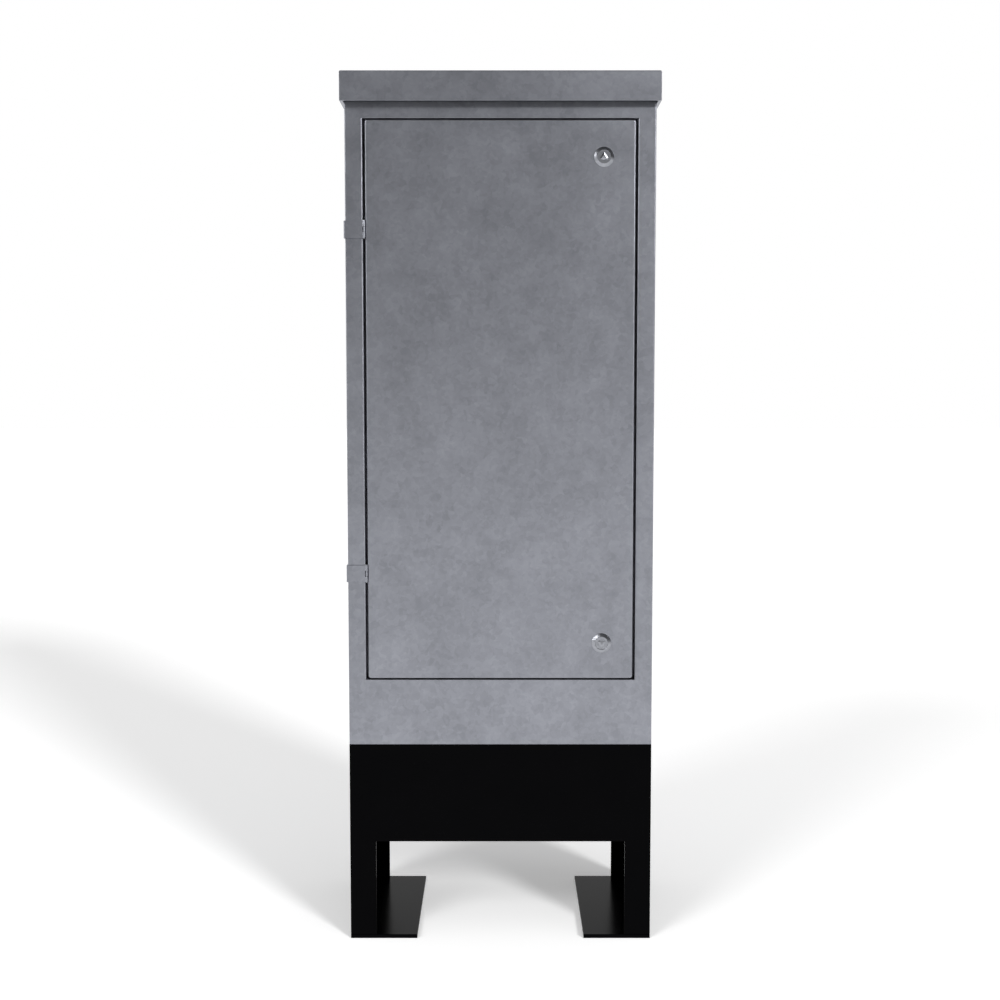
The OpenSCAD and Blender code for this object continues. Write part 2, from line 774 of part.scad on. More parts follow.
// Solid with rounded corners and a rounded front edge, laid with its front face at the front plane
module pan_block(w, h, d, rc, re) {
  union() {
    translate([0, 0, -h / 2 + rc]) linear_extrude(height = h - 2 * rc) round_low(w, d, re);
    translate([-w / 2 + rc, 0, 0]) rotate([0, 90, 0]) linear_extrude(height = w - 2 * rc)
      round_low(h, d, re);
    for (sx = [-1, 1]) for (sz = [-1, 1]) translate([sx * (w / 2 - rc), 0, sz * (h / 2 - rc)])
      rotate([-90, 0, 0]) rotate_extrude() union() {
        translate([0, re]) square([rc, d - re]);
        square([rc - re, d]);
        intersection() {
          translate([rc - re, re]) circle(r = re);
          square([rc, d]);
        }
      }
  }
}

// Door sheet folded back on all four sides, with a lip turned in at the back
module door_pan() {
  edge_r = min(fold_r, door_corner_r - 0.5);
  color(galv) difference() {
    translate([0, yf, ap_zm]) pan_block(2 * door_x, door_h, door_d, door_corner_r, edge_r);
    block([-door_x + sheet, yf + sheet, door_z0 + sheet],
      [door_x - sheet, door_back - sheet, door_z1 - sheet]);
    block([-door_x + door_lip, yf + sheet, door_z0 + door_lip],
      [door_x - door_lip, door_back + over, door_z1 - door_lip]);
    for (z = [upper_lock_z, lower_lock_z])
      bar_y([lock_x, yf - over, z], barrel_d / 2 + loose, sheet + 2 * over);
  }
}

// Stiffening channel on the inside of the door
module door_stiffener() {
  h = door_h - 160;
  color(galv) translate([0, yf + sheet, ap_zm - h / 2]) linear_extrude(height = h) union() {
    translate([-stiff_w / 2, 0]) square([14, 1.5]);
    translate([stiff_w / 2 - 14, 0]) square([14, 1.5]);
    translate([-stiff_w / 2 + 12.5, 0]) square([1.5, stiff_d]);
    translate([stiff_w / 2 - 14, 0]) square([1.5, stiff_d]);
    translate([-stiff_w / 2 + 12.5, stiff_d - 1.5]) square([stiff_w - 25, 1.5]);
  }
}

// Rubber seal all round the back of the door
module door_seal() {
  w = 2 * door_x - 3;
  h = door_h - 3;
  color(rubber) translate([0, door_back + seal_t, ap_zm]) rotate([90, 0, 0]) difference() {
    linear_extrude(height = seal_t) round_rect(w, h, door_corner_r);
    translate([0, 0, -over]) linear_extrude(height = seal_t + 2 * over)
      square([w - 20, h - 20], center = true);
  }
}

// Earth stud on the inside of the door
module door_earth_stud() {
  color(brass) translate([-door_x + 60, yf + sheet, door_z0 + 60]) mirror([0, 1, 0]) earth_stud([0, 0, 0]);
}

// Lock housing: domed rosette with a shallow dish outside, barrel through the door
module lock_housing(z) {
  color(bright) translate([lock_x, yf, z]) rotate([90, 0, 0]) rotate_extrude() difference() {
    union() {
      translate([0, -barrel_end]) square([barrel_d / 2, barrel_end + rosette_edge / 2]);
      intersection() {
        translate([0, dome_y]) circle(r = dome_r, $fn = 180);
        square([rosette_d / 2, rosette_h]);
      }
    }
    translate([0, dish_floor]) square([dish_d / 2, rosette_h]);
    translate([0, -barrel_end - over]) square([spindle_d / 2 + run, barrel_end + over + rosette_h]);
  }
}
module upper_lock_housing() {
  lock_housing(upper_lock_z);
}
module lower_lock_housing() {
  lock_housing(lower_lock_z);
}

// Thin hexagon nut that clamps the lock on the door sheet
module lock_nut(z) {
  color(zinc) difference() {
    hex_y([lock_x, yf + sheet, z], barrel_d + 7, 6);
    bar_y([lock_x, yf, z], barrel_d / 2 + 0.02, 12);
  }
}
module upper_lock_nut() {
  lock_nut(upper_lock_z);
}
module lower_lock_nut() {
  lock_nut(lower_lock_z);
}

// Spindle with the triangular post for the key and a square end for the cam
module lock_spindle(z, turn) {
  post_z = dish_floor + 0.3;
  color(bright) translate([lock_x, yf, z]) rotate([90, turn, 0]) difference() {
    union() {
      translate([0, 0, post_z]) rotate([0, 0, 90])
        cylinder(r = post_r, h = rosette_h - 0.3 - post_z, $fn = 3);
      translate([0, 0, -cam_front]) cylinder(r = spindle_d / 2, h = cam_front + post_z + 0.2);
      translate([-square_w / 2, -square_w / 2, -cam_front - cam_t]) cube([square_w, square_w, cam_t + over]);
    }
    translate([0, 0, -cam_front - cam_t - over]) cylinder(r = 2.02, h = 14);
  }
}
module upper_lock_spindle() {
  lock_spindle(upper_lock_z, 0);
}
module lower_lock_spindle() {
  lock_spindle(lower_lock_z, 180);
}

// Cam on the square end of the spindle, pointing down or up when the lock is open
module lock_cam(z, side) {
  color(zinc) translate([lock_x, yf + cam_front, z]) difference() {
    union() {
      bar_y([0, 0, 0], cam_w / 2, cam_t);
      block([-cam_w / 2, 0, side > 0 ? 0 : -cam_reach], [cam_w / 2, cam_t, side > 0 ? cam_reach : 0]);
    }
    block([-square_w / 2 - 0.02, -over, -square_w / 2 - 0.02],
      [square_w / 2 + 0.02, cam_t + over, square_w / 2 + 0.02]);
  }
}
module upper_lock_cam() {
  lock_cam(upper_lock_z, -1);
}
module lower_lock_cam() {
  lock_cam(lower_lock_z, 1);
}

// Hexagon screw and washer that hold the cam
module cam_screw(z) {
  color(zinc) translate([lock_x, yf + cam_front + cam_t, z]) union() {
    bar_y([0, 0, 0], 7, 1.2);
    hex_y([0, 1.2, 0], 8, 3);
    bar_y([0, -9, 0], 2, 10);
  }
}
module upper_cam_screw() {
  cam_screw(upper_lock_z);
}
module lower_cam_screw() {
  cam_screw(lower_lock_z);
}

body_wrap();
front_frame();
roof();
roof_studs();
roof_nuts();
root_left_side();
root_right_side();
root_front_panel();
root_rear_panel();
root_left_foot();
root_right_foot();
base_bolts();
base_nuts();
cable_bar();
body_earth_stud();
backboard();
board_studs();
board_spacers();
board_nuts();
din_rail();
rail_screws();
main_switch();
main_toggle();
breaker_1();
breaker_2();
breaker_3();
breaker_4();
breaker_1_toggle();
breaker_2_toggle();
breaker_3_toggle();
breaker_4_toggle();
terminal_screws();
neutral_bar();
neutral_posts();
neutral_screws();
earth_bar();
earth_posts();
earth_screws();
upper_hinge_leaf();
upper_hinge_pin();
lower_hinge_leaf();
lower_hinge_pin();
hinge_rivets();
door_pan();
door_stiffener();
door_seal();
door_earth_stud();
upper_hinge_door_leaf();
lower_hinge_door_leaf();
upper_lock_housing();
upper_lock_nut();
upper_lock_spindle();
upper_lock_cam();
upper_cam_screw();
lower_lock_housing();
lower_lock_nut();
lower_lock_spindle();
lower_lock_cam();
lower_cam_screw();
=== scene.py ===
# %% [markdown]
# A galvanised feeder pillar, seen from the front
#
# The pillar is a street cabinet for electrical switchgear: a folded sheet steel body with one door,
# an overhanging roof and a black root frame that stands in the ground. Its shapes come ready made
# from the solid model. This lesson loads them, lights them like a studio photo, makes the finishes,
# gives every edge the small rounding that sheet metal has, and adds the fine repeated detail.

# %% Load the frame
import json
import math

import bmesh
import bpy
from mathutils import Matrix, Vector


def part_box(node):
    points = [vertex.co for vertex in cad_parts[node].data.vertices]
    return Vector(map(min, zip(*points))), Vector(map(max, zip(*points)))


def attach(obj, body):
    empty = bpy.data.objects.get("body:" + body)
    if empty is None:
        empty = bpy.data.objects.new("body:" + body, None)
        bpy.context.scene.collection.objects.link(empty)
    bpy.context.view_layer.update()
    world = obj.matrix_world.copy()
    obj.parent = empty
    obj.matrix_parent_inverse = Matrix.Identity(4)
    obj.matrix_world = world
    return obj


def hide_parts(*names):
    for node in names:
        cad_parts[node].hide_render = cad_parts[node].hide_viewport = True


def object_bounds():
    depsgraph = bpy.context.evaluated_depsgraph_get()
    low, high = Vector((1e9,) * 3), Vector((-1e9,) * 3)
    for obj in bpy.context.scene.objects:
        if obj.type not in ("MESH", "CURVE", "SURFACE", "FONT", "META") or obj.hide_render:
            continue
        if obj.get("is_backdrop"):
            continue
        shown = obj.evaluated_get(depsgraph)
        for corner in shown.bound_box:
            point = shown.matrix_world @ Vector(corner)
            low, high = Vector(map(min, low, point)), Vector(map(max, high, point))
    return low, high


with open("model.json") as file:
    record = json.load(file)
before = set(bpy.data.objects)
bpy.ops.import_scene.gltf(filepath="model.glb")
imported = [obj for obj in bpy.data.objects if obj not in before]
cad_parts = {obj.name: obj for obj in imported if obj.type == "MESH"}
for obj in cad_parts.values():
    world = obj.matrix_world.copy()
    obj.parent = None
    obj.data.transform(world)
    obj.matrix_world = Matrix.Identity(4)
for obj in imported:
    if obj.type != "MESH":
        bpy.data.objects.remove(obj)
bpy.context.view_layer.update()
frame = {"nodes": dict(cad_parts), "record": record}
nodes = frame["nodes"]
behaviour = frame["record"]["behaviour"]
body_of_node = {n: b for b, members in behaviour["bodies"].items() for n in members}
slot_of_node = {row["node"]: row["material_slot"] for row in frame["record"]["subparts"]}
MM = 0.001

# %% [markdown]
# The camera
#
# The photo was taken almost straight on, from the middle height of the cabinet and tilted a few degrees
# down. A camera can be placed by eye, but then every edge is a little off. Here the height, the distance
# and the tilt were solved from the outline of the pillar, for a normal lens: 50 mm on a sensor 36 mm wide.

# %% Camera
FRONT_FACE_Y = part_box("front_frame")[0].y
CAMERA_DISTANCE = 2.0355
CAMERA_HEIGHT = 0.8185
CAMERA_X = -0.0006
CAMERA_TILT_DEG = 4.395

camera_data = bpy.data.cameras.new("camera")
camera_data.lens = 50.0
camera_data.sensor_width = 36.0
camera = bpy.data.objects.new("camera", camera_data)
camera.location = (CAMERA_X, FRONT_FACE_Y - CAMERA_DISTANCE, CAMERA_HEIGHT)
camera.rotation_euler = (math.radians(90.0 - CAMERA_TILT_DEG), 0.0, 0.0)
bpy.context.scene.collection.objects.link(camera)
bpy.context.scene.camera = camera
bpy.context.scene.view_settings.view_transform = "Standard"
print("camera at", [round(v, 4) for v in camera.location])

# %% [markdown]
# Helpers for node trees
#
# Colours are written as the hex values a paint program shows. Blender's shaders work in linear light, so
# one function converts them. A second function adds a node, fills its inputs and links it, which keeps
# each tree readable from top to bottom. The others start a material, turn the size of a spot into a
# texture scale, and blend between two tones.


# %% Node helpers
def linear(hex_colour):
    """An sRGB hex colour as linear RGBA."""
    parts = [int(hex_colour[i : i + 2], 16) / 255.0 for i in (1, 3, 5)]
    return [p / 12.92 if p <= 0.04045 else ((p + 0.055) / 1.055) ** 2.4 for p in parts] + [1.0]


def add(tree, kind, inputs=None, **settings):
    """Adds a node. Inputs hold plain values, or output sockets to link from."""
    node = tree.nodes.new(kind)
    for name, value in settings.items():
        setattr(node, name, value)
    for key, value in (inputs or {}).items():
        if isinstance(value, bpy.types.NodeSocket):
            tree.links.new(value, node.inputs[key])
        else:
            node.inputs[key].default_value = value
    return node


def new_material(name):
    """An empty node material with its output and the object coordinates, ready for a shader."""
    material = bpy.data.materials.new(name)
    material.use_nodes = True
    tree = material.node_tree
    tree.nodes.clear()
    output = add(tree, "ShaderNodeOutputMaterial")
    return material, tree, output.inputs["Surface"], add(tree, "ShaderNodeTexCoord").outputs["Object"]


def per_metre(size_mm):
    """The texture scale that gives spots of about this size, on coordinates in metres."""
    return 1000.0 / size_mm


def two_tones(tree, value, dark, light, start=0.0, end=1.0):
    """A colour ramp from a dark to a light hex colour, over this part of the value's range."""
    ramp = add(tree, "ShaderNodeValToRGB", {"Fac": value})
    for element, position, colour in zip(ramp.color_ramp.elements, (start, end), (dark, light)):
        element.position = position
        element.color = linear(colour)
    return ramp


# %% [markdown]
# The studio
#
# The photo has a white ground and background, and the metal shows a bright floor below and a dimmer room
# above: the sheet gets lighter towards its foot. A big light tent would do that, but it also washes out
# the metal. So the world is plain white only to the camera. Rays that bounce off shiny metal see white
# behind the object and a dim room in front of it, and rough surfaces get a soft fill, most of it from
# the front, which keeps the floor light between the feet.

# %% World
BACKDROP = 1.0
ROOM = 0.095
FILL_FRONT = 0.52
FILL_BEHIND = 0.13
BACKDROP_EDGE_Y = (-0.25, 0.35)
FILL_EDGE_Y = (-0.7, 0.7)
world = bpy.data.worlds.new("studio")
bpy.context.scene.world = world
world.use_nodes = True
tree = world.node_tree
tree.nodes.clear()
direction = add(tree, "ShaderNodeTexCoord").outputs["Generated"]
axes = add(tree, "ShaderNodeSeparateXYZ", {0: direction})
edge = {"Value": axes.outputs["Y"], "From Min": BACKDROP_EDGE_Y[0], "From Max": BACKDROP_EDGE_Y[1]}
mirrored = {**edge, "To Min": ROOM, "To Max": BACKDROP}
room = add(tree, "ShaderNodeMapRange", mirrored, interpolation_type="SMOOTHSTEP")
edge = {"Value": axes.outputs["Y"], "From Min": FILL_EDGE_Y[0], "From Max": FILL_EDGE_Y[1]}
soft = {**edge, "To Min": FILL_FRONT, "To Max": FILL_BEHIND}
fill = add(tree, "ShaderNodeMapRange", soft).outputs["Result"]
rays = add(tree, "ShaderNodeLightPath").outputs
straight = {0: rays["Is Camera Ray"], 1: rays["Is Transmission Ray"]}
seen = add(tree, "ShaderNodeMath", straight, operation="MAXIMUM")
bounced = {0: rays["Is Glossy Ray"], 2: fill, 3: room.outputs["Result"]}
lit = add(tree, "ShaderNodeMix", bounced, data_type="FLOAT")
sky = add(tree, "ShaderNodeMix", {0: seen.outputs[0], 2: lit.outputs[0], 3: BACKDROP}, data_type="FLOAT")
white = add(tree, "ShaderNodeBackground", {"Color": (1, 1, 1, 1), "Strength": sky.outputs[0]})
add(tree, "ShaderNodeOutputWorld", {"Surface": white.outputs[0]})
print("world nodes:", len(tree.nodes))

# %% [markdown]
# The floor
#
# One large pale sheet carries the shadows. It is a shade lighter to the camera than to other rays, so it
# runs into the white backdrop without a horizon and still throws only a natural amount of light back.
# It also gives a little light of its own, to the camera, which lifts the shadows between the feet, and
# to shiny metal, which mirrors a bright floor.

# %% Floor
FLOOR_HALF = 30.0
FLOOR_GLOW = 0.6
FLOOR_LIFT = 0.25
FLOOR_TONE = 0.82
FLOOR_TO_CAMERA = 1.2
corners = [(-1, -1), (1, -1), (1, 1), (-1, 1)]
floor_mesh = bpy.data.meshes.new("floor")
floor_mesh.from_pydata([(x * FLOOR_HALF, y * FLOOR_HALF, 0) for x, y in corners], [], [(0, 1, 2, 3)])
floor = bpy.data.objects.new("floor", floor_mesh)
bpy.context.scene.collection.objects.link(floor)

white_floor, tree, surface, _ = new_material("white_studio_floor")
rays = add(tree, "ShaderNodeLightPath").outputs
toned = {0: rays["Is Camera Ray"], 2: FLOOR_TONE, 3: FLOOR_TO_CAMERA}
tone = add(tree, "ShaderNodeMix", toned, data_type="FLOAT")
glow = add(tree, "ShaderNodeMath", {0: rays["Is Glossy Ray"], 1: FLOOR_GLOW}, operation="MULTIPLY")
lifted = {0: rays["Is Camera Ray"], 1: FLOOR_LIFT, 2: glow.outputs[0]}
glow = add(tree, "ShaderNodeMath", lifted, operation="MULTIPLY_ADD")
matt = add(tree, "ShaderNodeBsdfDiffuse", {"Color": tone.outputs[0]})
lift = add(tree, "ShaderNodeEmission", {"Color": (1, 1, 1, 1), "Strength": glow.outputs[0]})
both = add(tree, "ShaderNodeAddShader", {0: matt.outputs[0], 1: lift.outputs[0]})
tree.links.new(both.outputs[0], surface)
floor_mesh.materials.append(white_floor)
floor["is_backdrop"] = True
print("floor:", 2 * FLOOR_HALF, "m square")

# %% [markdown]
# The lamps
#
# Two large soft lamps stand far off. The right one is low and throws the long shadow that fans out to the
# left, the left one is weaker and throws a pale one to the right. A third stands further round to the
# left and only shines in the metal: it draws the light lines along the folds and the spark on the lock
# domes. Suns with a wide disc are used because they light the whole floor alike, so it stays white.


# %% Lamps
def far_lamp(name, azimuth_deg, elevation_deg, strength, disc_deg, matt=True):
    """A sun with a wide disc. Azimuth 0 is in front of the door and grows to the right."""
    data = bpy.data.lights.new(name, "SUN")
    data.energy = strength
    data.angle = math.radians(disc_deg)
    lamp = bpy.data.objects.new(name, data)
    turn, rise = math.radians(azimuth_deg), math.radians(elevation_deg)
    towards = Vector((math.sin(turn) * math.cos(rise), -math.cos(turn) * math.cos(rise), math.sin(rise)))
    lamp.rotation_euler = towards.to_track_quat("Z", "Y").to_euler()
    lamp.visible_diffuse = matt
    bpy.context.scene.collection.objects.link(lamp)
    print(name, "towards", [round(v, 2) for v in towards])
    return lamp


lamp_right = far_lamp("lamp_right", azimuth_deg=34.0, elevation_deg=21.5, strength=2.0, disc_deg=11.0)
lamp_left = far_lamp("lamp_left", azimuth_deg=-37.0, elevation_deg=31.0, strength=0.87, disc_deg=19.0)
shine = {"strength": 0.8, "disc_deg": 22.0, "matt": False}
edge_left = far_lamp("edge_left", azimuth_deg=-64.0, elevation_deg=20.0, **shine)

# %% [markdown]
# Galvanised steel
#
# The sheet was dipped in molten zinc, which froze in crystals, and has weathered dull. To the eye that is
# a bluish grey metal, rough enough to blur every reflection, with flakes under a centimetre wide in
# slightly different tones and wider soft clouds. A Voronoi texture has the flat cells of the flakes, and
# noise that shifts its coordinates makes their borders ragged. Everything sits on the real coordinates,
# so it runs on from the door to the frame as on one dip.

# %% Galvanised steel
GALV_FLAKE_MM = 9.0
GALV_CHIP_MM = 5.0
GALV_RAGGED_MM = 5.0
GALV_STIR_MM = 11.0
GALV_CLOUD_MM = 34.0
GALV_PATCH_MM = 110.0
FLAKE_SHARE = 0.19
CHIP_SHARE = 0.16
CLOUD_SHARE = 0.38
PATCH_SHARE = 0.45
MIX_DARK = 0.415
MIX_LIGHT = 0.815
galvanised, tree, surface, place = new_material("weathered_galvanised_steel")
stir = add(tree, "ShaderNodeTexNoise", {"Vector": place, "Scale": per_metre(GALV_STIR_MM), "Detail": 2.0})
shift = [2.0 * GALV_RAGGED_MM * MM] * 3
shifted = {0: stir.outputs["Color"], 1: shift, 2: place}
ragged = add(tree, "ShaderNodeVectorMath", shifted, operation="MULTIPLY_ADD")
flake = add(tree, "ShaderNodeTexVoronoi", {"Vector": ragged.outputs[0], "Scale": per_metre(GALV_FLAKE_MM)})
chip = add(tree, "ShaderNodeTexVoronoi", {"Vector": ragged.outputs[0], "Scale": per_metre(GALV_CHIP_MM)})
cloud = add(tree, "ShaderNodeTexNoise", {"Vector": place, "Scale": per_metre(GALV_CLOUD_MM), "Detail": 3.0})
patch = add(tree, "ShaderNodeTexNoise", {"Vector": place, "Scale": per_metre(GALV_PATCH_MM), "Detail": 2.0})
flakes = {0: flake.outputs["Color"], 1: FLAKE_SHARE, 2: 0.0}
mix = add(tree, "ShaderNodeMath", flakes, operation="MULTIPLY_ADD")
more_spots = (
    (chip.outputs["Color"], CHIP_SHARE),
    (cloud.outputs["Fac"], CLOUD_SHARE),
    (patch.outputs["Fac"], PATCH_SHARE),
)
for spots, share in more_spots:
    mix = add(tree, "ShaderNodeMath", {0: spots, 1: share, 2: mix.outputs[0]}, operation="MULTIPLY_ADD")
tone = two_tones(tree, mix.outputs[0], "#888a91", "#9c9ea6", MIX_DARK, MIX_LIGHT)
dull = {"From Min": MIX_DARK, "From Max": MIX_LIGHT, "To Min": 0.359, "To Max": 0.367}
rough = add(tree, "ShaderNodeMapRange", {"Value": mix.outputs[0], **dull})
ripple = add(tree, "ShaderNodeBump", {"Height": mix.outputs[0], "Strength": 0.05, "Distance": 0.3 * MM})
zinc = {"Base Color": tone.outputs[0], "Roughness": rough.outputs[0], "Normal": ripple.outputs[0]}
metal = add(tree, "ShaderNodeBsdfPrincipled", {**zinc, "Metallic": 1.0})
tree.links.new(metal.outputs[0], surface)
print("galvanised steel:", len(tree.nodes), "nodes")

# %% [markdown]
# Black bitumen coating
#
# The root goes into the ground, so it is coated with bitumen paint. It is almost pure black, with a skin
# that is smooth enough to mirror the floor at a low angle and has a very fine grain. A very dark base
# and a low specular level do that: the front stays black and the tops of the feet turn grey.

# %% Black bitumen coating
BITUMEN_GRAIN_MM = 1.2
BITUMEN_PATCH_MM = 60.0
BITUMEN_GLOSS = 0.032
bitumen, tree, surface, place = new_material("black_bitumen_coating")
skin = add(tree, "ShaderNodeTexNoise", {"Vector": place, "Scale": per_metre(BITUMEN_GRAIN_MM), "Detail": 2.0})
wear = add(tree, "ShaderNodeTexNoise", {"Vector": place, "Scale": per_metre(BITUMEN_PATCH_MM), "Detail": 3.0})
tone = two_tones(tree, wear.outputs["Fac"], "#000001", "#020203")
rough = add(tree, "ShaderNodeMapRange", {"Value": wear.outputs["Fac"], "To Min": 0.16, "To Max": 0.22})
ripple = add(tree, "ShaderNodeBump", {"Height": skin.outputs["Fac"], "Strength": 0.15, "Distance": 0.15 * MM})
tar = {"Base Color": tone.outputs[0], "Roughness": rough.outputs[0], "Normal": ripple.outputs[0]}
coat = add(tree, "ShaderNodeBsdfPrincipled", {**tar, "Specular IOR Level": BITUMEN_GLOSS})
tree.links.new(coat.outputs[0], surface)
print("bitumen:", len(tree.nodes), "nodes")

# %% [markdown]
# Birch plywood
#
# The backboard is plywood, nine thin sheets of birch glued crosswise. Its face shows fine upright grain and
# its edges show the layers as light and dark stripes. Both come from where a point is: the depth in the
# board tells the sheet, and noise stretched along the grain draws the fibres. The two outer sheets are
# sanded a little thinner than the rest.

# %% Birch plywood
PLY_COUNT = 9
PLY_SANDED = 0.1
GRAIN_MM = 2.5
GRAIN_STRETCH = 0.04
FLAME_MM = 26.0
FIBRE_SHARE = 0.6
board_low, board_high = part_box("backboard")
ply_t = (board_high.y - board_low.y) / (PLY_COUNT - 2.0 * PLY_SANDED)
plywood, tree, surface, place = new_material("birch_plywood")
long_z = add(tree, "ShaderNodeMapping", {"Vector": place, "Scale": (1.0, 1.0, GRAIN_STRETCH)})
long_x = add(tree, "ShaderNodeMapping", {"Vector": place, "Scale": (GRAIN_STRETCH, 1.0, 1.0)})
depth = add(tree, "ShaderNodeSeparateXYZ", {0: place}).outputs["Y"]
inset = {0: depth, 1: 1.0 / ply_t, 2: PLY_SANDED - board_low.y / ply_t}
sheet = add(tree, "ShaderNodeMath", inset, operation="MULTIPLY_ADD")
pairs = add(tree, "ShaderNodeMath", {0: sheet.outputs[0], 1: 2.0}, operation="FLOORED_MODULO")
crossed = add(tree, "ShaderNodeMath", {0: pairs.outputs[0], 1: 1.0}, operation="GREATER_THAN").outputs[0]
along = {0: crossed, 4: long_z.outputs[0], 5: long_x.outputs[0]}
fibre_place = add(tree, "ShaderNodeMix", along, data_type="VECTOR")
fibre = {"Vector": fibre_place.outputs[1], "Scale": per_metre(GRAIN_MM), "Detail": 5.0, "Roughness": 0.65}
fibre = add(tree, "ShaderNodeTexNoise", fibre)
flame = {"Vector": long_z.outputs[0], "Scale": per_metre(FLAME_MM), "Detail": 2.0}
flame = add(tree, "ShaderNodeTexNoise", flame)
fine = {0: fibre.outputs["Fac"], 1: FIBRE_SHARE, 2: 0.0}
fine = add(tree, "ShaderNodeMath", fine, operation="MULTIPLY_ADD")
grain = {0: flame.outputs["Fac"], 1: 1.0 - FIBRE_SHARE, 2: fine.outputs[0]}
grain = add(tree, "ShaderNodeMath", grain, operation="MULTIPLY_ADD")
wood = two_tones(tree, grain.outputs[0], "#a98455", "#cfae7c", 0.36, 0.62)
end_grain = {0: crossed, 6: wood.outputs[0], 7: linear("#7f5c36")}
layers = add(tree, "ShaderNodeMix", end_grain, data_type="RGBA")
pores = add(tree, "ShaderNodeBump", {"Height": fibre.outputs["Fac"], "Strength": 0.3, "Distance": 0.2 * MM})
rough = add(tree, "ShaderNodeMapRange", {"Value": grain.outputs[0], "To Min": 0.72, "To Max": 0.5})
board = {"Base Color": layers.outputs[2], "Roughness": rough.outputs[0], "Normal": pores.outputs[0]}
birch = add(tree, "ShaderNodeBsdfPrincipled", board)
tree.links.new(birch.outputs[0], surface)
print("plywood sheet:", round(ply_t / MM, 2), "mm")

# %% [markdown]
# Drawn and plated metal
#
# Zinc plated screws and hinges, the bright lock castings and the drawn brass bars differ in colour and in how
# their surface was made. Plating leaves a soft mottle with a faint tint, casting a fine orange peel, and
# drawing leaves lines along the bar. One recipe serves all three: two tones, a spot size, and a stretch
# along X that is 1 for no direction. Noise seldom leaves the middle of its range, so the two tones are
# set at 0.35 and 0.65.

# %% Drawn and plated metal
NOISE_LOW = 0.35
NOISE_HIGH = 0.65
ROUGH_SPREAD = 0.06


def small_metal(name, dark, light, spot_mm, roughness, bump_mm, stretch_x=1.0):
    """A bright metal with two close tones, spots of one size and the bumps they leave."""
    material, tree, surface, place = new_material(name)
    drawn = add(tree, "ShaderNodeMapping", {"Vector": place, "Scale": (stretch_x, 1.0, 1.0)})
    spots = {"Vector": drawn.outputs[0], "Scale": per_metre(spot_mm), "Detail": 4.0, "Roughness": 0.6}
    spots = add(tree, "ShaderNodeTexNoise", spots).outputs["Fac"]
    tone = two_tones(tree, spots, dark, light, NOISE_LOW, NOISE_HIGH)
    worn = {"To Min": roughness + ROUGH_SPREAD, "To Max": roughness - ROUGH_SPREAD}
    rough = add(tree, "ShaderNodeMapRange", {"Value": spots, "From Min": 0.3, "From Max": 0.7, **worn})
    ripple = add(tree, "ShaderNodeBump", {"Height": spots, "Strength": 0.12, "Distance": bump_mm * MM})
    look = {"Base Color": tone.outputs[0], "Roughness": rough.outputs[0], "Normal": ripple.outputs[0]}
    shader = add(tree, "ShaderNodeBsdfPrincipled", {**look, "Metallic": 1.0})
    tree.links.new(shader.outputs[0], surface)
    return material


zinc_plate = small_metal("zinc_plated_steel", "#a3a5a9", "#b4b5b8", 6.0, 0.34, 0.05)
lock_metal = small_metal("bright_plated_zinc_casting", "#989aa0", "#a3a5ab", 5.0, 0.35, 0.02)
brass = small_metal("drawn_brass", "#b08a3c", "#c9a555", 1.5, 0.3, 0.05, stretch_x=0.05)
print("metals:", zinc_plate.name, lock_metal.name, brass.name)

# %% [markdown]
# Mouldings and rubber
#
# The switch housings are moulded from pale grey polyamide with a spark-eroded grain, the toggles and
# posts from coloured plastic, and the seal is cellular rubber. All are plain dyed materials: a near
# even colour, slightly cloudy, and a fine grain that breaks the gloss. The real grain is about 0.2 mm,
# too fine to show here, so it is drawn at 0.8 mm.

# %% Mouldings and rubber
MOULD_GRAIN_MM = 0.8
MOULD_CLOUD_MM = 18.0


def moulding(name, dark, light, roughness, grain_mm=MOULD_GRAIN_MM, bump_mm=0.04):
    """A dyed moulding: a cloudy colour with a fine grain."""
    material, tree, surface, place = new_material(name)
    cloudy = {"Vector": place, "Scale": per_metre(MOULD_CLOUD_MM), "Detail": 3.0}
    cloudy = add(tree, "ShaderNodeTexNoise", cloudy).outputs["Fac"]
    grain = {"Vector": place, "Scale": per_metre(grain_mm), "Detail": 1.0}
    grain = add(tree, "ShaderNodeTexNoise", grain).outputs["Fac"]
    tone = two_tones(tree, cloudy, dark, light, NOISE_LOW, NOISE_HIGH)
    gloss = {"To Min": roughness - ROUGH_SPREAD, "To Max": roughness + ROUGH_SPREAD}
    rough = add(tree, "ShaderNodeMapRange", {"Value": cloudy, **gloss})
    ripple = add(tree, "ShaderNodeBump", {"Height": grain, "Strength": 0.2, "Distance": bump_mm * MM})
    look = {"Base Color": tone.outputs[0], "Roughness": rough.outputs[0], "Normal": ripple.outputs[0]}
    shader = add(tree, "ShaderNodeBsdfPrincipled", {**look, "IOR": 1.53})
    tree.links.new(shader.outputs[0], surface)
    return material


# %% Finish of each slot
finishes = {
    "galvanised_steel": galvanised,
    "black_coated_steel": bitumen,
    "zinc_plated_steel": zinc_plate,
    "bright_lock_metal": lock_metal,
    "brass": brass,
    "plywood": plywood,
    "black_rubber": moulding("cellular_epdm_rubber", "#111111", "#1b1b1b", 0.72, 1.6, 0.15),
    "pale_grey_plastic": moulding("pale_grey_polyamide", "#cdcfd0", "#d9dbdc", 0.42),
    "dark_plastic": moulding("black_polyamide", "#1d1f21", "#28292c", 0.4),
    "red_plastic": moulding("red_polyamide", "#9a1b17", "#ad2721", 0.38),
    "blue_plastic": moulding("blue_insulator", "#25528c", "#3065a8", 0.45),
    "green_plastic": moulding("green_insulator", "#337c3a", "#41934a", 0.45),
}
print("finishes:", len(finishes))

